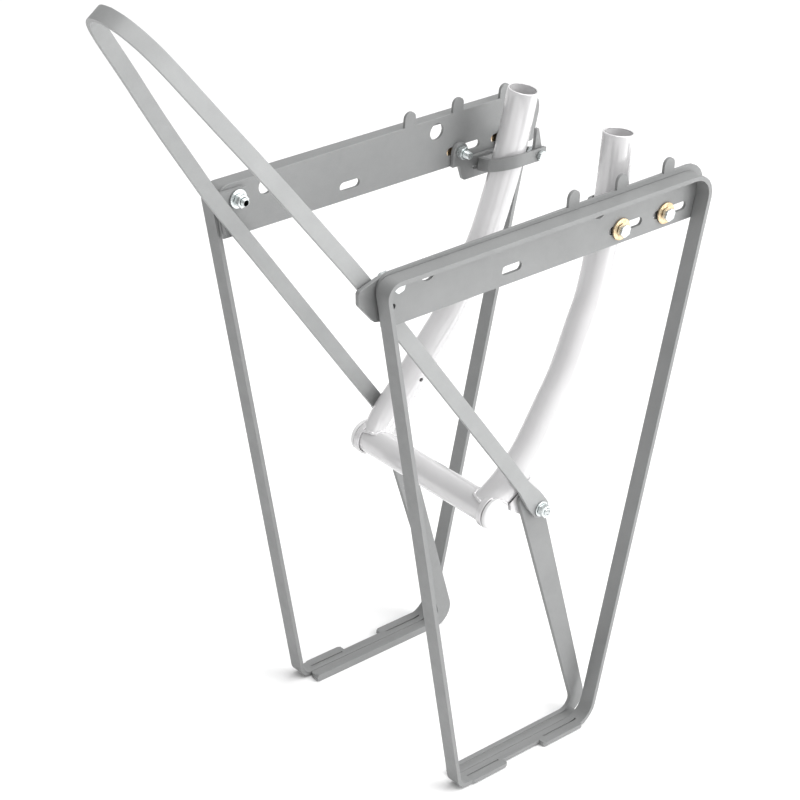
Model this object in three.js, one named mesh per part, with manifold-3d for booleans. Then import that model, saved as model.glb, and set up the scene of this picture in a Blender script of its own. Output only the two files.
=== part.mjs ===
// Rear carrier for a bicycle: two bent flat-bar side loops with rail plates, a flat-bar hoop,
// struts with foot rims, and a clamped tubular yoke. Millimetres, +Z up, +X toward the clamps,
// +Y to the left. The part stands on its foot rims at z = 0.
import * as THREE from 'three';
import { mergeVertices } from 'three/addons/utils/BufferGeometryUtils.js';
import Module from 'manifold-3d';

const wasm = await Module();
wasm.setup();

// ---------------------------------------------------------------- driving dimensions
const BASE_Z = 379;          // height of the slot centre line above the floor
const SHIFT_X = -59.41;      // moves the middle of the length onto x = 0
const GAP = 0.3;             // clearance left between parts that touch

const BAR_T = 3;             // thickness of every flat bar
const LOOP_IN = 75.5;        // |y| of the inner edge of the side loop
const LOOP_W = 10.8;         // width of the side loop bar
const PLATE_T = 2;           // rail plate sheet
const PLATE_IN = 73.2;       // |y| of the inner face of the rail plate
const PLATE_TOP = 28;
const PLATE_BOTTOM = -10;

const LOOP_TOP = 25;         // outer face of the top of the loop
const LOOP_BASE = -378;      // outer face of the foot of the loop
const REAR_FACE = -7.5;      // rear face of the rear leg at z = 0
const REAR_SLOPE = -0.2333;
const FRONT_FACE = 266.2;    // front face of the front leg at z = 0
const FRONT_SLOPE = 0.1568;
const TAB_OUT = 87.2;        // |y| of the outer edge of the foot tabs
const NECK_OUT = 82.2;       // |y| of the foot between its two tabs
const NECK_X = [125, 160];

const BOLT_R = 2.5;          // M5
const PIVOT = [149, -189];   // lower bolt of strut and hoop
const REAR_BOLT = [4.7, 17];
const CLAMP_BOLTS = [195, 236];

const HOOP_DIR = [-0.6154, 0.7882];  // direction of the hoop arms in side view
const HOOP_W = 10;
const HOOP_END_R = 7;        // round eye at the lower end of each arm
const ARM_LOW = 71.4;        // |y| of the arm at the pivot
const ARM_HIGH = 68.3;       // |y| of the arm where it passes the rail
const STRUT_OUT = ARM_LOW - BAR_T / 2 - GAP;
const LUG_T = 3.6;
const LUG_OUT = STRUT_OUT - BAR_T - GAP;
const RIM_OUT = LOOP_IN - GAP;
const RIM_Z = [-379, -373.5];

const TUBE_R = 10.4;
const TUBE_BORE = 8.9;
const CROSS = [116, -185.5]; // axis of the cross tube
const CROSS_R = 9.9;
const CROSS_END = 62;        // |y| of the ends of the cross tube

// ---------------------------------------------------------------- solids
function toSolid(geometry) {
  const g = geometry.clone();
  g.deleteAttribute('normal');
  g.deleteAttribute('uv');
  const m = mergeVertices(g, 1e-4);
  const mesh = new wasm.Mesh({
    numProp: 3,
    vertProperties: new Float32Array(m.attributes.position.array),
    triVerts: new Uint32Array(m.index.array),
  });
  mesh.merge();
  return new wasm.Manifold(mesh);
}

function toGeometry(solid) {
  const mesh = solid.getMesh();
  const g = new THREE.BufferGeometry();
  g.setAttribute('position', new THREE.BufferAttribute(new Float32Array(mesh.vertProperties), 3));
  g.setIndex(new THREE.BufferAttribute(new Uint32Array(mesh.triVerts), 1));
  return g;
}

const union = (...parts) => wasm.Manifold.union(parts);
const cut = (solid, ...tools) => tools.reduce((a, b) => a.subtract(b), solid);
const mirrored = (solid) => solid.mirror([0, 1, 0]);

function shapeOf(points) {
  return new THREE.Shape(points.map(([x, y]) => new THREE.Vector2(x, y)));
}

// A closed outline with each corner [x, y, radius] rounded.
function rounded(corners, steps = 6) {
  const out = [];
  const n = corners.length;
  corners.forEach(([x, y, r], i) => {
    const p = new THREE.Vector2(x, y);
    if (!r) { out.push([x, y]); return; }
    const a = new THREE.Vector2(...corners[(i + n - 1) % n]).sub(p).normalize();
    const b = new THREE.Vector2(...corners[(i + 1) % n]).sub(p).normalize();
    const half = Math.acos(THREE.MathUtils.clamp(a.dot(b), -1, 1)) / 2;
    const reach = r / Math.tan(half);
    const centre = a.clone().add(b).normalize().multiplyScalar(r / Math.sin(half)).add(p);
    const from = p.clone().addScaledVector(a, reach).sub(centre);
    const to = p.clone().addScaledVector(b, reach).sub(centre);
    let turn = to.angle() - from.angle();
    if (turn > Math.PI) turn -= 2 * Math.PI;
    if (turn < -Math.PI) turn += 2 * Math.PI;
    for (let k = 0; k <= steps; k++) {
      const t = from.angle() + (turn * k) / steps;
      out.push([centre.x + r * Math.cos(t), centre.y + r * Math.sin(t)]);
    }
  });
  return out;
}

// A round corner path as an open polyline (same rule as above, open ends).
function bentPath(corners, steps = 6) {
  const closed = rounded(corners.map((c, i) =>
    (i === 0 || i === corners.length - 1 ? [c[0], c[1], 0] : c)), steps);
  return closed;
}

// An open path given a thickness: `left` to the left of travel and `right` to the right.
function thicken(path, left, right) {
  const pts = path.map((p) => new THREE.Vector2(...p));
  const side = (offset) => pts.map((p, i) => {
    const before = pts[Math.max(0, i - 1)];
    const after = pts[Math.min(pts.length - 1, i + 1)];
    const d1 = p.clone().sub(before).normalize();
    const d2 = after.clone().sub(p).normalize();
    const d = i === 0 ? d2 : i === pts.length - 1 ? d1 : d1.add(d2).normalize();
    const along = i === 0 || i === pts.length - 1 ? 1 : Math.max(0.5, d.dot(d2));
    return [p.x - (d.y * offset) / along, p.y + (d.x * offset) / along];
  });
  return [...side(-right), ...side(left).reverse()];
}

// Outline drawn in x and z, extruded along y between y0 and y1.
function prismY(points, y0, y1) {
  const pts = points.map((p) => [p[0], p[1]]);
  const g = new THREE.ExtrudeGeometry(shapeOf(pts), { depth: y1 - y0, bevelEnabled: false });
  g.rotateX(Math.PI / 2);
  g.translate(0, y1, 0);
  return toSolid(g);
}

// Outline drawn in x and y, extruded along z.
function prismZ(points, z0, z1) {
  const g = new THREE.ExtrudeGeometry(shapeOf(points), { depth: z1 - z0, bevelEnabled: false });
  g.translate(0, 0, z0);
  return toSolid(g);
}

// A cylinder between two points.
function rod(a, b, r, segments = 16) {
  const from = new THREE.Vector3(...a);
  const to = new THREE.Vector3(...b);
  const dir = to.clone().sub(from);
  const g = new THREE.CylinderGeometry(r, r, dir.length(), segments);
  g.rotateX(Math.PI / 2);
  g.applyQuaternion(new THREE.Quaternion().setFromUnitVectors(
    new THREE.Vector3(0, 0, 1), dir.clone().normalize()));
  const mid = from.add(to).multiplyScalar(0.5);
  g.translate(mid.x, mid.y, mid.z);
  return toSolid(g);
}

const holeY = (x, z, r, y0, y1, segments = 16) => rod([x, y0, z], [x, y1, z], r, segments);

// A straight slot cutter along x.
function slotY(x0, x1, z, half, y0, y1) {
  return prismY(rounded([[x0, z - half, half * 0.99], [x1, z - half, half * 0.99],
    [x1, z + half, half * 0.99], [x0, z + half, half * 0.99]], 4), y0, y1);
}

function tubeSolid(points, outer, inner, steps, segments) {
  const curve = new THREE.CatmullRomCurve3(points.map((p) => new THREE.Vector3(...p)), false,
    'centripetal');
  const ring = (r) => {
    const s = [];
    for (let i = 0; i < segments; i++) {
      const t = (2 * Math.PI * i) / segments;
      s.push(new THREE.Vector2(r * Math.cos(t), r * Math.sin(t)));
    }
    return s;
  };
  const shape = new THREE.Shape(ring(outer));
  if (inner) shape.holes.push(new THREE.Path(ring(inner).reverse()));
  return toSolid(new THREE.ExtrudeGeometry(shape, { steps, extrudePath: curve }));
}

// ---------------------------------------------------------------- side loops
const rearX = (z) => REAR_FACE + REAR_SLOPE * z;
const frontX = (z) => FRONT_FACE + FRONT_SLOPE * z;

// Side outline of the loop, moved inward by `inset`.
function loopOutline(inset) {
  const rear = (z) => rearX(z) + inset * Math.hypot(1, REAR_SLOPE);
  const front = (z) => frontX(z) - inset * Math.hypot(1, FRONT_SLOPE);
  const low = LOOP_BASE + inset;
  const top = LOOP_TOP - inset;
  return rounded([[rear(low), low, 10 - inset], [front(low), low, 18 - inset],
    [front(top), top, 16 - inset], [rear(top), top, 9 - inset]], 6);
}

// One flat bar bent into a closed loop; its foot steps out into two tabs.
function sideLoop() {
  const y1 = LOOP_IN + LOOP_W;
  const bar = cut(prismY(loopOutline(0), LOOP_IN, y1), prismY(loopOutline(BAR_T), LOOP_IN - 1, y1 + 1));
  const [n0, n1] = NECK_X;
  const top = LOOP_BASE + BAR_T;
  const tab = (x0, x1) => prismZ(rounded([[x0, NECK_OUT - 4, 0], [x1, NECK_OUT - 4, 0],
    [x1, TAB_OUT, 2.5], [x0, TAB_OUT, 2.5]], 5), LOOP_BASE, top);
  const neck = prismZ([[n0, NECK_OUT], [n1, NECK_OUT], [n1, TAB_OUT + 2], [n0, TAB_OUT + 2]],
    LOOP_BASE - 1, top + 1);
  const groove = (x0, x1) => prismZ([[x0, 80], [x1, 80], [x1, 81.2], [x0, 81.2]], top - 0.9, top + 1);
  return cut(union(cut(bar, neck), tab(92, n0), tab(n1, 198)), groove(93, n0 - 3), groove(n1 + 5, 197));
}

// ---------------------------------------------------------------- rail plates
const TAB_X = [150.2, 192.9, 235.8];
const TAB_HALF = 4.7;
const TAB_TOP = 38;

function railPlate() {
  const rearEdge = rearX(PLATE_BOTTOM) + 1.5;
  const frontEdge = frontX(PLATE_BOTTOM) + 1.5;
  let plate = prismY(rounded([
    [rearEdge, PLATE_BOTTOM, 2],
    [frontEdge, PLATE_BOTTOM, 2],
    [frontX(PLATE_TOP) + 2.4, PLATE_TOP + 0.8, 16],
    [rearX(PLATE_TOP) + 3, PLATE_TOP - 1.5, 9],
  ], 6), PLATE_IN, PLATE_IN + PLATE_T);
  const tabs = TAB_X.map((x) => prismY(rounded([
    [x - TAB_HALF, PLATE_TOP - 3, 0], [x + TAB_HALF, PLATE_TOP - 3, 0],
    [x + TAB_HALF, TAB_TOP, 4.5], [x - TAB_HALF, TAB_TOP, 4.5]], 4),
  PLATE_IN, PLATE_IN + PLATE_T));
  plate = union(plate, ...tabs);
  const y0 = PLATE_IN - 1;
  const y1 = PLATE_IN + PLATE_T + 1;
  return cut(plate,
    holeY(30, 17.9, 5.9, y0, y1, 20), holeY(174.5, 18.5, 5.9, y0, y1, 20),
    slotY(91.5, 108.5, 0, 3, y0, y1), slotY(185, 215, 0.6, 3, y0, y1),
    slotY(225.5, 256, 0.6, 3, y0, y1),
    holeY(...REAR_BOLT, BOLT_R + 0.4, y0, y1), holeY(3.5, 3, 1.9, y0, y1));
}

// ---------------------------------------------------------------- hoop
// |y| of the bar's centre and the distance along the arms, from the lower bolt to the crown.
const HOOP_SHAPE = [[ARM_LOW, -16], [ARM_LOW, 60], [ARM_HIGH, 215], [ARM_HIGH, 252], [66.2, 278],
  [62, 302], [54.5, 345], [46.5, 380], [40.5, 403], [35.5, 425], [31, 445], [25.5, 461], [19, 470.5],
  [10.5, 477], [0, 479.5]];

function hoop() {
  const curve = new THREE.CatmullRomCurve3(
    HOOP_SHAPE.slice(3).map(([y, s]) => new THREE.Vector3(y, s, 0)), false, 'centripetal');
  const half = [...HOOP_SHAPE.slice(0, 3), ...curve.getPoints(36).map((p) => [p.x, p.y])];
  half[half.length - 1][0] = 0;
  const path = [...half, ...half.slice(0, -1).reverse().map(([y, s]) => [-y, s])];
  const g = new THREE.ExtrudeGeometry(shapeOf(thicken(path, BAR_T / 2, BAR_T / 2)),
    { depth: 2 * HOOP_END_R, bevelEnabled: false });
  g.translate(0, 0, -HOOP_END_R);
  const along = new THREE.Vector3(HOOP_DIR[0], 0, HOOP_DIR[1]);
  const across = new THREE.Vector3(0, 1, 0);
  g.applyMatrix4(new THREE.Matrix4().makeBasis(across, along, across.clone().cross(along)));
  g.translate(PIVOT[0], 0, PIVOT[1]);
  return cut(toSolid(g).intersect(prismY(armOutline(), -90, 90)),
    holeY(...PIVOT, BOLT_R + 0.3, -90, 90));
}

// Side view of an arm: a round eye at the lower bolt that necks down to the bar's width.
function armOutline() {
  const [ux, uz] = HOOP_DIR;
  const at = (s, w) => [PIVOT[0] + ux * s + uz * w, PIVOT[1] + uz * s - ux * w];
  const eye = [];
  for (let k = 0; k <= 14; k++) {
    const t = (Math.PI * k) / 14;
    eye.push(at(-HOOP_END_R * Math.sin(t), HOOP_END_R * Math.cos(t)));
  }
  const w = HOOP_W / 2;
  return [...eye, at(9, -HOOP_END_R), at(27, -w), at(600, -w), at(600, w), at(27, w), at(9, HOOP_END_R)];
}

// Plate welded to the outer face of the arm and bolted to the rail plate.
const HOOP_BRACKET_IN = ARM_HIGH + BAR_T / 2 + GAP;

// The left one ends at the plate's rear edge; the right one runs out behind it.
const BEHIND_PLATE = prismY([[-40, -20], [rearX(-20) + 2, -20], [rearX(30) + 3, 30], [-40, 30]], 60, 80);

function hoopBracket() {
  const outline = rounded([
    [-22.4, 18.5, 2.5], [-21.6, 9.6, 3], [-8.6, -4.6, 4], [4, -7, 4], [13.5, 4, 5],
    [13.5, 23.5, 4], [-7, 23.5, 5]], 5);
  return cut(prismY(outline, HOOP_BRACKET_IN, PLATE_IN - GAP),
    holeY(...REAR_BOLT, BOLT_R + 0.4, 60, 80), holeY(3.5, 3, 1.9, 60, 80));
}

// ---------------------------------------------------------------- struts
// Flat bar from the lower bolt that turns into the rim under the foot, with a flange that
// reaches out to the inner edge of the side loop's foot.
function strut() {
  const [low, high] = RIM_Z;
  const outline = rounded([
    [130.5, -176.5, 4], [143, -176, 6], [154.5, -189, 6], [220, low, 14],
    [87, low, 3], [87, high, 2], [205.5, high, 8]], 8);
  const flange = prismZ(rounded([[88, STRUT_OUT - 1, 0], [205, STRUT_OUT - 1, 0],
    [205, RIM_OUT, 2], [88, RIM_OUT, 2]], 4), LOOP_BASE, LOOP_BASE + BAR_T);
  return cut(union(prismY(outline, STRUT_OUT - BAR_T, STRUT_OUT), flange),
    holeY(...PIVOT, BOLT_R + 0.3, 55, 80));
}

// ---------------------------------------------------------------- clamps
const SHEET = 2.6;
const BRACKET_IN = PLATE_IN - GAP - SHEET;
const STRAP_W = 9;
const STRAP_Z = -12.5;       // middle of the strap at the bracket
const STRAP_RISE = 0.4;      // it rises toward the middle of the rack
const STRAP_R = 12.4;        // centre line of the strap round the stay tube
const LUG_Y = 34.1;          // |y| of the free end of the strap
const PINCH_X = 232;
// The right clamp is the left one turned over about the line through its bolts.
const turned = (solid) => solid.rotate([180, 0, 0]).translate([0, 0, 0.6]);

// A strip bent along a path in plan view, tilted so that it rises inward.
function tiltedStrip(path) {
  return prismZ(thicken(path, SHEET / 2, SHEET / 2), STRAP_Z - STRAP_W / 2, STRAP_Z + STRAP_W / 2)
    .transform([1, 0, 0, 0, 0, 1, -STRAP_RISE, 0, 0, 0, 1, 0, 0, 0, BRACKET_IN * STRAP_RISE, 1]);
}

const pinchZ = (y) => STRAP_Z + (BRACKET_IN - y) * STRAP_RISE;
const pinchHole = () => rod([PINCH_X, 20, pinchZ(LUG_Y)], [PINCH_X, 50, pinchZ(LUG_Y)], 2.2, 20);

function clampBracket() {
  const y1 = PLATE_IN - GAP;
  const [b1, b2] = CLAMP_BOLTS;
  const base = prismY(rounded([[b1 + 4, -21.6, 3], [248, -21.6, 3], [248, -6, 2], [b1 - 2, -6, 2]], 5),
    BRACKET_IN, y1);
  const lug = (x) => union(
    prismY([[x - 6.4, -10], [x + 6.4, -10], [x + 6.4, 0], [x - 6.4, 0]], BRACKET_IN, y1),
    rod([x, BRACKET_IN, 0], [x, y1, 0], 6.4, 20));
  const leg = tiltedStrip(bentPath([[246.6, BRACKET_IN + 1, 0], [239.5, 60, 4],
    [238.5, LUG_Y + SHEET + GAP, 1.5], [228.6, LUG_Y + SHEET + GAP, 0]], 5));
  const finY = LUG_Y + SHEET / 2 + GAP;
  const fin = prismY([[229, 1], [237, 1], [231.6, 20], [229.6, 20]], finY, finY + SHEET);
  return cut(union(base, lug(b1), lug(b2), leg, fin),
    holeY(b1, 0.3, BOLT_R + 0.3, 60, 80), holeY(b2, 0.3, BOLT_R + 0.3, 60, 80),
    holeY(208.8, -14.3, 1.6, 60, 80), pinchHole());
}

// Strap from the bracket round the rear and inner side of the stay tube to the pinch screw.
function clampStrap() {
  const root = BRACKET_IN - GAP - SHEET / 2;
  const path = bentPath([[226, root, 0], [211.5, root, 3], [194.7, LUG_Y, STRAP_R],
    [237, LUG_Y, 0]], 12);
  return cut(tiltedStrip(path), pinchHole(), prismZ([[180, BRACKET_IN - GAP],
    [260, BRACKET_IN - GAP], [260, 90], [180, 90]], -60, 60));
}

// ---------------------------------------------------------------- yoke
// Centre line of the stay tube, from its open top to the cross tube.
const STAY = [[221, 43, 48], [216, 46, 4], [209, 48.5, -32], [201.5, 50.5, -60],
  [193.5, 51.8, -77], [179, 54, -108], [166.5, 55.6, -126], [147, 57.6, -153],
  [134, 58.4, -166], [CROSS[0], 58.8, -179]];

function crossTube() {
  return rod([CROSS[0], -CROSS_END, CROSS[1]], [CROSS[0], CROSS_END, CROSS[1]], CROSS_R, 28)
    .subtract(rod([CROSS[0], -70, CROSS[1]], [CROSS[0], 70, CROSS[1]], CROSS_R - 1.8, 24));
}

const COLLAR_R = CROSS_R + 1.7;
const crossRod = (y0, y1, r) => rod([CROSS[0], y0, CROSS[1]], [CROSS[0], y1, CROSS[1]], r, 28);

function stayTube() {
  const tube = tubeSolid(STAY, TUBE_R, TUBE_BORE, 20, 20);
  return cut(tube, crossRod(0, 90, CROSS_R + GAP), crossRod(57, 90, COLLAR_R + GAP),
    rod([150, 30, -147], [150, 48, -147], 1.5, 12));
}

// Domed plug in the end of the cross tube, with a spigot inside the bore.
function endCap() {
  const y0 = CROSS_END + GAP;
  const profile = [[0, y0 - 8], [CROSS_R - 2.2, y0 - 8], [CROSS_R - 2.2, y0], [CROSS_R + 1.3, y0],
    [CROSS_R + 1.3, y0 + 2.2], [CROSS_R + 0.7, y0 + 3], [CROSS_R - 1.2, y0 + 3.6], [5.4, y0 + 4.1],
    [0, y0 + 4.2]];
  const g = new THREE.LatheGeometry(profile.map(([r, y]) => new THREE.Vector2(r, y)), 28);
  g.translate(CROSS[0], 0, CROSS[1]);
  return toSolid(g);
}

function collar() {
  return crossRod(57.3, CROSS_END - 0.4, COLLAR_R).subtract(crossRod(50, 90, CROSS_R + GAP));
}

// Lug that carries the lower bolt, on the outer side of the stay tube.
function gusset() {
  const [px, pz] = PIVOT;
  const outline = rounded([[px - 4, pz - 8, 5], [px + 7, pz - 6, 6], [px + 7, pz + 6, 6],
    [px - 8, pz + 27, 3], [px - 19, pz + 18, 3], [CROSS[0] + 10, CROSS[1], 2]], 5);
  return cut(prismY(outline, LUG_OUT - LUG_T, LUG_OUT), holeY(...PIVOT, BOLT_R + 0.3, 50, 80),
    tubeSolid(STAY, TUBE_R + GAP, 0, 20, 20), crossRod(40, 90, COLLAR_R + GAP));
}

// ---------------------------------------------------------------- fasteners
function hexY(x, z, across, y0, y1, turn = 0) {
  const r = across / Math.sqrt(3);
  const pts = [];
  for (let k = 0; k < 6; k++) {
    const t = turn + (k * Math.PI) / 3;
    pts.push([x + r * Math.cos(t), z + r * Math.sin(t)]);
  }
  return prismY(pts, y0, y1);
}

// Hex bolt with its head on the outer side, shank along y.
function bolt(x, z, headY, tipY, across = 8, turn = 0.3) {
  const head = hexY(x, z, across, headY, headY + 3.5, turn)
    .intersect(rod([x, headY - 1, z], [x, headY + 3.5, z], across / 2 + 0.45, 20));
  return union(head, holeY(x, z, BOLT_R, tipY, headY + 1));
}

const ring = (x, z, outer, inner, y0, y1) => holeY(x, z, outer, y0, y1, 20)
  .subtract(holeY(x, z, inner, y0 - 1, y1 + 1, 16));
const nut = (x, z, y0, y1, turn = 0.2) => hexY(x, z, 8, y0, y1, turn)
  .subtract(holeY(x, z, BOLT_R + 0.3, y0 - 1, y1 + 1));

const PLATE_OUT = PLATE_IN + PLATE_T;

// ---------------------------------------------------------------- assembly
const part = new THREE.Group();
part.name = 'rear_rack';

const paints = {
  frame: new THREE.MeshStandardMaterial({ color: 0xa6a8a8, roughness: 0.55, metalness: 0.35 }),
  yoke: new THREE.MeshStandardMaterial({ color: 0xe6e6e8, roughness: 0.25, metalness: 0.1 }),
  cap: new THREE.MeshStandardMaterial({ color: 0xf0f0f2, roughness: 0.4, metalness: 0 }),
  zinc: new THREE.MeshStandardMaterial({ color: 0xc8cccc, roughness: 0.3, metalness: 0.9 }),
  brass: new THREE.MeshStandardMaterial({ color: 0xd0b48c, roughness: 0.35, metalness: 0.9 }),
};

function add(name, solid, paint) {
  const g = toGeometry(solid.translate([SHIFT_X, 0, BASE_Z]));
  g.computeVertexNormals();
  const mesh = new THREE.Mesh(g, paints[paint]);
  mesh.name = name;
  part.add(mesh);
}

function addPair(name, solid, paint) {
  add(`left_${name}`, solid, paint);
  add(`right_${name}`, mirrored(solid), paint);
}

addPair('side_loop', sideLoop(), 'frame');
addPair('rail_plate', railPlate(), 'frame');
add('hoop', hoop(), 'frame');
add('left_hoop_bracket', cut(hoopBracket(), BEHIND_PLATE), 'frame');
add('right_hoop_bracket', mirrored(hoopBracket()), 'frame');
addPair('strut', strut(), 'frame');
const aroundTube = tubeSolid(STAY, TUBE_R + GAP, 0, 20, 20);
add('left_clamp_bracket', cut(clampBracket(), aroundTube), 'frame');
add('right_clamp_bracket', cut(turned(clampBracket()), mirrored(aroundTube)), 'frame');
add('left_clamp_strap', cut(clampStrap(), aroundTube), 'frame');
add('right_clamp_strap', cut(turned(clampStrap()), mirrored(aroundTube)), 'frame');
addPair('stay_tube', stayTube(), 'yoke');
add('cross_tube', crossTube(), 'yoke');
addPair('collar', collar(), 'yoke');
addPair('end_cap', endCap(), 'cap');
addPair('pivot_lug', gusset(), 'yoke');

const [rbx, rbz] = REAR_BOLT;
const [pvx, pvz] = PIVOT;
const plateFace = PLATE_OUT + GAP;
addPair('rear_bolt', bolt(rbx, rbz, plateFace, 61.4), 'zinc');
addPair('rear_washer', ring(rbx, rbz, 6.4, BOLT_R + 0.3, HOOP_BRACKET_IN - 1.5, HOOP_BRACKET_IN - GAP),
  'zinc');
addPair('rear_nut', nut(rbx, rbz, 64, HOOP_BRACKET_IN - 1.8), 'zinc');

const lugIn = LUG_OUT - LUG_T;
const armFace = ARM_LOW + BAR_T / 2 + GAP;
addPair('pivot_bolt', union(hexY(pvx, pvz, 8, lugIn - GAP - 3.5, lugIn - GAP, 0.3),
  holeY(pvx, pvz, BOLT_R, lugIn - 1, armFace + 6.2)), 'zinc');
addPair('pivot_washer', ring(pvx, pvz, 5.4, BOLT_R + 0.3, armFace, armFace + 1), 'zinc');
addPair('pivot_nut', nut(pvx, pvz, armFace + 1.3, armFace + 5.3), 'zinc');

['rear', 'front'].forEach((end, i) => {
  const x = CLAMP_BOLTS[i];
  const z = 0.3;
  addPair(`${end}_clamp_bolt`, bolt(x, z, plateFace + 1.2 + GAP, 61), 'zinc');
  addPair(`${end}_clamp_washer`, ring(x, z, 7.3, BOLT_R + 0.3, plateFace, plateFace + 1.2), 'brass');
  addPair(`${end}_clamp_nut`, nut(x, z, BRACKET_IN - GAP - 4, BRACKET_IN - GAP), 'zinc');
});

const pinchAt = pinchZ(LUG_Y);
const strapFace = LUG_Y - SHEET / 2 - GAP;
const pinchNutAt = LUG_Y + 1.5 * SHEET + 2 * GAP;
const pinchScrew = union(rod([PINCH_X, strapFace - 3, pinchAt], [PINCH_X, strapFace, pinchAt], 3.6, 28),
  rod([PINCH_X, strapFace - 1, pinchAt], [PINCH_X, pinchNutAt + 4.6, pinchAt], 1.9, 20));
const pinchNut = hexY(PINCH_X, pinchAt, 7, pinchNutAt, pinchNutAt + 3.2)
  .subtract(holeY(PINCH_X, pinchAt, 2.2, 0, 60, 20));
add('left_pinch_screw', pinchScrew, 'zinc');
add('right_pinch_screw', turned(pinchScrew), 'zinc');
add('left_pinch_nut', pinchNut, 'zinc');
add('right_pinch_nut', turned(pinchNut), 'zinc');

export default part;
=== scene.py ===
"""Rear bicycle rack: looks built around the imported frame. Metres, +Z up."""
import math

import bmesh
import bpy
from mathutils import Matrix, Vector


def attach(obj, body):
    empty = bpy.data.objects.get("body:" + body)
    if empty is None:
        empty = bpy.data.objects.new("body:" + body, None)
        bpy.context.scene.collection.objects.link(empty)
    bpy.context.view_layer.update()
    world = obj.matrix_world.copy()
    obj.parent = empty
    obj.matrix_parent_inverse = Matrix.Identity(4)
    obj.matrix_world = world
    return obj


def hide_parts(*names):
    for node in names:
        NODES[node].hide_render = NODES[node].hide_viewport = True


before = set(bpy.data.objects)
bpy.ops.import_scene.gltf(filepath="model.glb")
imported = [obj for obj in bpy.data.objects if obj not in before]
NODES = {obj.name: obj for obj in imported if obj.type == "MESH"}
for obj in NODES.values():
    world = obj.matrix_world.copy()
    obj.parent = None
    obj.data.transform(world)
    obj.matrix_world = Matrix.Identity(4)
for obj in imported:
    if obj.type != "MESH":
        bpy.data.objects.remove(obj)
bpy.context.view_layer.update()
scene = bpy.context.scene

# The CAD source draws in millimetres, with z = 0 on the centre line of the rail slots. These
# move its points to the frame's origin.
SHIFT_X, BASE_Z = -59.41, 379


def cad_point(x, y, z):
    """A point of the CAD source, in metres in the frame."""
    return Vector(((x + SHIFT_X) / 1000, y / 1000, (z + BASE_Z) / 1000))


# Centre line of a stay tube (x, |y|, z), from its open top to inside the cross tube. The last
# three points differ from the CAD's: they lead the end inward, clear of the end cap.
STAY = [(221, 43, 48), (216, 46, 4), (209, 48.5, -32), (201.5, 50.5, -60), (193.5, 51.8, -77),
        (179, 54, -108), (166.5, 55.6, -126), (147, 57.6, -153), (135, 57.8, -165.5),
        (125, 56.4, -175), (116, 53.4, -183.5)]
TUBE_R, TUBE_BORE = 0.0104, 0.0089
END_TAPER = 0.07             # how much narrower a stay tube is at its lower end
CROSS = cad_point(116, 0, -185.5)
CROSS_R = 0.0099
JOINT_R = TUBE_R * 0.94      # of the stay tube where it enters the cross tube
WELD_R = 0.0011
# Small hole in the inner wall of each stay tube: its axis (x, z), the |y| it spans, its radius.
HOLE_XZ, HOLE_Y, HOLE_R = (150, -147), (30, 53), 0.0015
THREAD_R = 0.00268
SMOOTH_ANGLE = math.radians(40)
BEVEL_ANGLE = math.radians(38)


# ------------------------------------------------------------------ materials
class Nodes:
    """Small helper to build a node tree."""

    def __init__(self, name):
        self.mat = bpy.data.materials.new(name)
        self.mat.use_nodes = True
        self.tree = self.mat.node_tree
        self.bsdf = self.tree.nodes["Principled BSDF"]
        self.coord = self.tree.nodes.new("ShaderNodeTexCoord").outputs["Object"]

    def new(self, kind, **values):
        node = self.tree.nodes.new(kind)
        for key, value in values.items():
            if hasattr(node, key):
                setattr(node, key, value)
            else:
                node.inputs[key].default_value = value
        return node

    def link(self, a, b):
        self.tree.links.new(a, b)

    def noise(self, scale, detail=4.0, roughness=0.55):
        node = self.new("ShaderNodeTexNoise", Scale=scale, Detail=detail, Roughness=roughness)
        self.link(self.coord, node.inputs["Vector"])
        return node.outputs["Fac"]

    def ramp(self, source, stops):
        node = self.new("ShaderNodeValToRGB")
        ramp = node.color_ramp
        while len(ramp.elements) < len(stops):
            ramp.elements.new(0.5)
        for element, (at, colour) in zip(ramp.elements, stops):
            element.position = at
            element.color = (*colour, 1) if len(colour) == 3 else colour
        self.link(source, node.inputs["Fac"])
        return node.outputs["Color"]

    def to_range(self, source, low, high):
        node = self.new("ShaderNodeMapRange")
        node.inputs["From Min"].default_value = 0.3
        node.inputs["From Max"].default_value = 0.7
        node.inputs["To Min"].default_value = low
        node.inputs["To Max"].default_value = high
        self.link(source, node.inputs["Value"])
        return node.outputs["Result"]

    def bump(self, heights):
        last = None
        for source, distance, strength in heights:
            node = self.new("ShaderNodeBump", Strength=strength, Distance=distance)
            self.link(source, node.inputs["Height"])
            if last:
                self.link(last, node.inputs["Normal"])
            last = node.outputs["Normal"]
        self.link(last, self.bsdf.inputs["Normal"])

    def mix(self, factor, a, b):
        node = self.new("ShaderNodeMix", data_type="RGBA")
        for source, slot in ((factor, 0), (a, 6), (b, 7)):
            if isinstance(source, (tuple, list)):
                node.inputs[slot].default_value = (*source, 1)
            else:
                self.link(source, node.inputs[slot])
        return node.outputs[2]


def grey(v, tint=(1, 1, 1)):
    return (v * tint[0], v * tint[1], v * tint[2])


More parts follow.
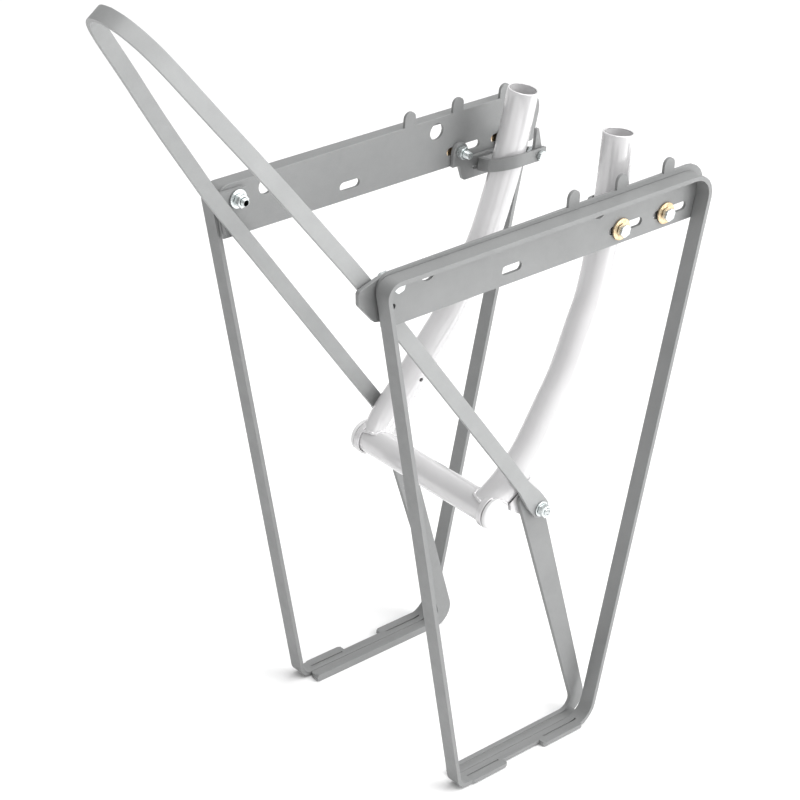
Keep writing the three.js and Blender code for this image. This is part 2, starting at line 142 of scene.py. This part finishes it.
def rack_paint(name, value):
    n = Nodes(name)
    cool = (0.985, 1.0, 1.0)
    mottle = n.ramp(n.noise(38), [(0.3, grey(value * 0.955, cool)), (0.7, grey(value * 1.035, cool))])
    flake = n.ramp(n.noise(5200, 1.0), [(0.35, grey(0.42)), (0.65, grey(0.58))])
    overlay = n.new("ShaderNodeMix", data_type="RGBA", blend_type="OVERLAY")
    overlay.inputs[0].default_value = 0.35
    n.link(mottle, overlay.inputs[6])
    n.link(flake, overlay.inputs[7])
    edge = n.new("ShaderNodeNewGeometry").outputs["Pointiness"]
    wear = n.new("ShaderNodeMapRange")
    wear.inputs["From Min"].default_value = 0.54
    wear.inputs["From Max"].default_value = 0.68
    wear.inputs["To Max"].default_value = 0.35
    n.link(edge, wear.inputs["Value"])
    n.link(n.mix(wear.outputs["Result"], overlay.outputs[2], grey(value * 0.72)),
           n.bsdf.inputs["Base Color"])
    n.link(n.to_range(n.noise(120), 0.44, 0.58), n.bsdf.inputs["Roughness"])
    n.bsdf.inputs["Metallic"].default_value = 0.3
    n.bump([(n.noise(900, 2.0), 0.00012, 0.22), (n.noise(70, 2.0), 0.0003, 0.05)])
    return n.mat


def yoke_paint():
    n = Nodes("yoke_paint")
    n.link(n.ramp(n.noise(24), [(0.3, grey(0.62, (1, 0.99, 1.0))), (0.7, grey(0.67, (1, 0.99, 1.0)))]),
           n.bsdf.inputs["Base Color"])
    n.link(n.to_range(n.noise(90), 0.16, 0.24), n.bsdf.inputs["Roughness"])
    n.bsdf.inputs["Metallic"].default_value = 0.25
    n.bsdf.inputs["Coat Weight"].default_value = 0.6
    n.bsdf.inputs["Coat Roughness"].default_value = 0.08
    n.bump([(n.noise(420, 2.0), 0.00015, 0.12)])
    return n.mat


def cap_plastic():
    n = Nodes("cap_plastic")
    n.link(n.ramp(n.noise(60), [(0.3, grey(0.70)), (0.7, grey(0.75))]), n.bsdf.inputs["Base Color"])
    n.link(n.to_range(n.noise(300), 0.32, 0.44), n.bsdf.inputs["Roughness"])
    n.bump([(n.noise(1500, 2.0), 0.00008, 0.18)])
    return n.mat


def plated(name, low, high, rough):
    n = Nodes(name)
    n.link(n.ramp(n.noise(450), [(0.3, low), (0.7, high)]), n.bsdf.inputs["Base Color"])
    n.link(n.to_range(n.noise(1300), rough, rough + 0.16), n.bsdf.inputs["Roughness"])
    n.bsdf.inputs["Metallic"].default_value = 0.95
    n.bump([(n.noise(2600, 3.0), 0.0001, 0.25)])
    return n.mat


MATERIALS = {
    "rack_paint": rack_paint("rack_paint", 0.25),
    "hoop_paint": rack_paint("hoop_paint", 0.325),
    "yoke_paint": yoke_paint(),
    "cap_plastic": cap_plastic(),
    "zinc": plated("zinc", (0.62, 0.66, 0.66), (0.86, 0.9, 0.9), 0.2),
    "brass": plated("brass", (0.66, 0.45, 0.26), (0.9, 0.74, 0.5), 0.24),
}


# ------------------------------------------------------------------ pieces
def add_piece(name, bm, material, replaced):
    mesh = bpy.data.meshes.new(name)
    bmesh.ops.recalc_face_normals(bm, faces=bm.faces)
    bm.to_mesh(mesh)
    bm.free()
    mesh.materials.append(MATERIALS[material])
    obj = bpy.data.objects.new(name, mesh)
    scene.collection.objects.link(obj)
    mesh.shade_smooth()
    mesh.set_sharp_from_angle(angle=SMOOTH_ANGLE)
    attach(obj, "root")
    if replaced:
        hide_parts(*replaced)
    return obj


def softened(node, material, width):
    """A copy of a CAD node with its facets joined and its edges broken."""
    bm = bmesh.new()
    bm.from_mesh(NODES[node].data)
    bmesh.ops.remove_doubles(bm, verts=bm.verts, dist=2e-6)
    bmesh.ops.dissolve_limit(bm, angle_limit=math.radians(0.6), verts=bm.verts, edges=bm.edges)
    obj = add_piece(f"{node}_skin", bm, material, [node])
    bevel = obj.modifiers.new("edge", "BEVEL")
    bevel.width, bevel.segments = width, 2
    bevel.limit_method, bevel.angle_limit = "ANGLE", BEVEL_ANGLE
    bevel.use_clamp_overlap = True
    bevel.harden_normals = True
    return obj


def catmull(points, per=10):
    """Centripetal Catmull-Rom through the points."""
    p = [Vector(v) for v in points]
    p = [2 * p[0] - p[1], *p, 2 * p[-1] - p[-2]]
    out = []
    for i in range(1, len(p) - 2):
        a, b, c, d = p[i - 1:i + 3]
        t1 = math.sqrt((b - a).length)
        t2 = t1 + math.sqrt((c - b).length)
        t3 = t2 + math.sqrt((d - c).length)
        for k in range(per):
            t = t1 + (t2 - t1) * k / per
            ab = a * ((t1 - t) / t1) + b * (t / t1)
            bc = b * ((t2 - t) / (t2 - t1)) + c * ((t - t1) / (t2 - t1))
            cd = c * ((t3 - t) / (t3 - t2)) + d * ((t - t2) / (t3 - t2))
            abc = ab * ((t2 - t) / t2) + bc * (t / t2)
            bcd = bc * ((t3 - t) / (t3 - t1)) + cd * ((t - t1) / (t3 - t1))
            out.append(abc * ((t2 - t) / (t2 - t1)) + bcd * ((t - t1) / (t2 - t1)))
    out.append(p[-2])
    return out


def sections(points):
    """Rows of (point, two directions across, direction along) for a line, without twist."""
    rows, side = [], None
    for i, p in enumerate(points):
        along = (points[min(i + 1, len(points) - 1)] - points[max(i - 1, 0)]).normalized()
        if side is None:
            side = along.orthogonal().normalized()
        side = (side - along * side.dot(along)).normalized()
        rows.append((p, side, along.cross(side), along))
    return rows


def open_tube(name, points, outer, inner, material, replaced, around=56, lip=0.0004):
    """A tube with a rounded lip at its first end and a taper toward its last, open inside."""
    rows = sections(points)
    p0, a0, b0, d0 = rows[0]
    whole = 0.8 * len(rows)
    size = [1 - END_TAPER * max(0, i - whole) / (0.2 * len(rows)) for i in range(len(rows))]
    rings = [(p, a, b, inner * s) for (p, a, b, _), s in reversed(list(zip(rows, size)))]
    rings += [(p0 + d0 * lip, a0, b0, inner), (p0, a0, b0, inner + lip)]
    for k in range(5):
        t = math.pi / 2 * k / 4
        rings.append((p0 + d0 * (lip * (1 - math.cos(t))), a0, b0, outer - lip + lip * math.sin(t)))
    rings += [(p, a, b, outer * s) for (p, a, b, _), s in list(zip(rows, size))[1:]]
    bm = bmesh.new()
    made = []
    for p, a, b, r in rings:
        made.append([bm.verts.new(p + (a * math.cos(t) + b * math.sin(t)) * r)
                     for t in (2 * math.pi * k / around for k in range(around))])
    for one, two in zip(made, made[1:] + made[:1]):
        for k in range(around):
            m = (k + 1) % around
            bm.faces.new((one[k], one[m], two[m], two[k]))
    return add_piece(name, bm, material, replaced)


def bead(name, ring, radius, material):
    """A weld bead along a ring of points, with the ripple of a hand-laid weld."""
    bm = bmesh.new()
    n = len(ring)
    loops = []
    for i, p in enumerate(ring):
        along = (ring[(i + 1) % n] - ring[i - 1]).normalized()
        a = along.orthogonal().normalized()
        b = along.cross(a)
        r = radius * (1 + 0.13 * math.sin(i * 2 * math.pi * 22 / n) + 0.07 * math.sin(i * 0.37))
        loops.append([bm.verts.new(p + (a * math.cos(t) + b * math.sin(t)) * r)
                      for t in (2 * math.pi * k / 10 for k in range(10))])
    for one, two in zip(loops, loops[1:] + loops[:1]):
        best = min(range(10), key=lambda s: sum((one[k].co - two[(k + s) % 10].co).length
                                                for k in range(10)))
        for k in range(10):
            m = (k + 1) % 10
            bm.faces.new((one[k], one[m], two[(m + best) % 10], two[(k + best) % 10]))
    return add_piece(name, bm, material, [])


def thread(name, start, along, radius, length, pitch=0.0008):
    """The threaded end of a bolt."""
    along = Vector(along).normalized()
    a = along.orthogonal().normalized()
    b = along.cross(a)
    around, per = 28, 6
    steps = max(2, int(length / pitch * per))
    bm = bmesh.new()
    rings = []
    for i in range(steps + 1):
        s = length * i / steps
        ring = []
        for k in range(around):
            t = 2 * math.pi * k / around
            wave = abs(((s / pitch - k / around) % 1) * 2 - 1)
            taper = min(1.0, (length - s) / pitch)
            r = radius - 0.00042 * (1 - wave) - 0.0004 * (1 - taper)
            ring.append(bm.verts.new(Vector(start) + along * s + (a * math.cos(t) + b * math.sin(t)) * r))
        rings.append(ring)
    for one, two in zip(rings, rings[1:]):
        for k in range(around):
            m = (k + 1) % around
            bm.faces.new((one[k], one[m], two[m], two[k]))
    bm.faces.new(rings[0])
    bm.faces.new(rings[-1])
    return add_piece(name, bm, "zinc", [])


def drilled(obj, start, end, radius):
    """Cut a round hole through a piece, between two points."""
    start, end = Vector(start), Vector(end)
    bm = bmesh.new()
    bmesh.ops.create_cone(bm, cap_ends=True, segments=24, radius1=radius, radius2=radius,
                          depth=(end - start).length)
    mesh = bpy.data.meshes.new("cutter")
    bm.to_mesh(mesh)
    bm.free()
    cutter = bpy.data.objects.new("cutter", mesh)
    cutter.matrix_world = Matrix.Translation((start + end) / 2) @ \
        (end - start).to_track_quat("Z", "Y").to_matrix().to_4x4()
    scene.collection.objects.link(cutter)
    modifier = obj.modifiers.new("hole", "BOOLEAN")
    modifier.operation, modifier.object = "DIFFERENCE", cutter
    graph = bpy.context.evaluated_depsgraph_get()
    result = bpy.data.meshes.new_from_object(obj.evaluated_get(graph))
    obj.modifiers.clear()
    obj.data = result
    bpy.data.objects.remove(cutter)


def joint_ring(line, radius, around=96):
    """Where a tube of this radius leaves the cross tube."""
    rows = sections(line)
    last, a, _, _ = rows[-1]
    back = (line[-3] - last).normalized()
    a = (a - back * back.dot(a)).normalized()
    b = back.cross(a)
    ring = []
    for k in range(around):
        t = 2 * math.pi * k / around
        p = last + (a * math.cos(t) + b * math.sin(t)) * radius
        for _ in range(120):
            if math.hypot(p.x - CROSS.x, p.z - CROSS.z) >= CROSS_R:
                break
            p = p + back * 0.0002
        ring.append(p)
    return ring


# Bolt: the place (x, z) of its axis, the |y| where the thread starts, and its length.
THREADS = {"rear": (4.7, 17, 63.8, 0.0024), "rear_clamp": (195, 0.3, 65.8, 0.0047),
           "front_clamp": (236, 0.3, 65.8, 0.0047), "pivot": (149, -189, 78.6, 0.0008)}

FLAT = {"side_loop": 0.0005, "rail_plate": 0.0003, "hoop_bracket": 0.0004, "strut": 0.0005,
        "clamp_bracket": 0.0004, "clamp_strap": 0.0004}
SMALL = {"collar": ("yoke_paint", 0.0006), "pivot_lug": ("yoke_paint", 0.0005),
         "end_cap": ("cap_plastic", 0.0005)}
HARDWARE = ["rear_bolt", "rear_washer", "rear_nut", "pivot_bolt", "pivot_washer", "pivot_nut",
            "rear_clamp_bolt", "front_clamp_bolt", "rear_clamp_nut", "front_clamp_nut",
            "pinch_screw", "pinch_nut"]

softened("hoop", "hoop_paint", 0.0005)
softened("cross_tube", "yoke_paint", 0.0003)
for side in ("left", "right"):
    sign = 1 if side == "left" else -1
    for part, width in FLAT.items():
        softened(f"{side}_{part}", "rack_paint", width)
    for part, (material, width) in SMALL.items():
        softened(f"{side}_{part}", material, width)
    for part in HARDWARE:
        softened(f"{side}_{part}", "zinc", 0.0003)
    for part in ("rear_clamp_washer", "front_clamp_washer"):
        softened(f"{side}_{part}", "brass", 0.0002)
    line = catmull([cad_point(x, sign * y, z) for x, y, z in STAY])
    tube = open_tube(f"{side}_stay_tube_skin", line, TUBE_R, TUBE_BORE, "yoke_paint",
                     [f"{side}_stay_tube"])
    (hole_x, hole_z), (hole_in, hole_out) = HOLE_XZ, HOLE_Y
    drilled(tube, cad_point(hole_x, sign * hole_in, hole_z),
            cad_point(hole_x, sign * hole_out, hole_z), HOLE_R)
    bead(f"{side}_stay_weld", joint_ring(line, JOINT_R), WELD_R, "yoke_paint")
    for label, (x, z, y, length) in THREADS.items():
        outward = sign if label == "pivot" else -sign
        thread(f"{side}_{label}_thread", cad_point(x, sign * y, z), (0, outward, 0), THREAD_R, length)

# ------------------------------------------------------------------ stage, light, camera
floor_mesh = bpy.data.meshes.new("floor")
floor_mesh.from_pydata([(-30, -30, 0), (30, -30, 0), (30, 30, 0), (-30, 30, 0)], [], [(0, 1, 2, 3)])
floor = bpy.data.objects.new("floor", floor_mesh)
floor_material = Nodes("floor_white")
floor_material.bsdf.inputs["Roughness"].default_value = 0.9
floor_material.bsdf.inputs["Specular IOR Level"].default_value = 0.1
floor_material.link(floor_material.ramp(floor_material.noise(3), [(0.3, grey(0.93)), (0.7, grey(0.95))]),
                    floor_material.bsdf.inputs["Base Color"])
floor_mesh.materials.append(floor_material.mat)
scene.collection.objects.link(floor)

world = bpy.data.worlds.new("studio")
scene.world = world
world.use_nodes = True
# The surround is brighter toward the clamps and the right rail than on the opposite side.
sky = world.node_tree
direction = sky.nodes.new("ShaderNodeTexCoord")
across = sky.nodes.new("ShaderNodeVectorMath")
across.operation = "DOT_PRODUCT"
across.inputs[1].default_value = (0.74, -0.67, 0.05)
level = sky.nodes.new("ShaderNodeMapRange")
level.inputs["From Min"].default_value = -0.6
level.inputs["From Max"].default_value = 0.7
level.inputs["To Min"].default_value = 0.5
level.inputs["To Max"].default_value = 1.15
sky.links.new(direction.outputs["Generated"], across.inputs[0])
sky.links.new(across.outputs["Value"], level.inputs["Value"])
sky.links.new(level.outputs["Result"], sky.nodes["Background"].inputs["Strength"])
sky.nodes["Background"].inputs["Color"].default_value = (1, 1, 1, 1)


def area(name, place, target, size, power):
    data = bpy.data.lights.new(name, "AREA")
    data.shape, data.size, data.size_y, data.energy = "RECTANGLE", size[0], size[1], power
    lamp = bpy.data.objects.new(name, data)
    lamp.location = place
    lamp.rotation_euler = (Vector(target) - Vector(place)).to_track_quat("-Z", "Y").to_euler()
    scene.collection.objects.link(lamp)


MID = (0, 0, 0.28)
area("top", (0.2, -0.4, 1.9), MID, (1.8, 1.4), 22)
area("side", (1.1, -1.5, 0.9), MID, (1.2, 1.4), 24)

camera_data = bpy.data.cameras.new("camera")
camera_data.sensor_width = 36
camera_data.lens = 115.23
camera_data.clip_start, camera_data.clip_end = 0.05, 60
camera = bpy.data.objects.new("camera", camera_data)
RIGHT = Vector((0.740302, -0.669994, 0.055333))
DOWN = Vector((-0.289904, -0.392416, -0.872906))
FORWARD = Vector((0.606555, 0.630173, -0.48474))
turn = Matrix((RIGHT, -DOWN, -FORWARD)).transposed()
camera.matrix_world = Matrix.Translation((-0.968808, -1.034213, 1.05441)) @ turn.to_4x4()
scene.collection.objects.link(camera)
scene.camera = camera
scene.view_settings.view_transform = "Standard"
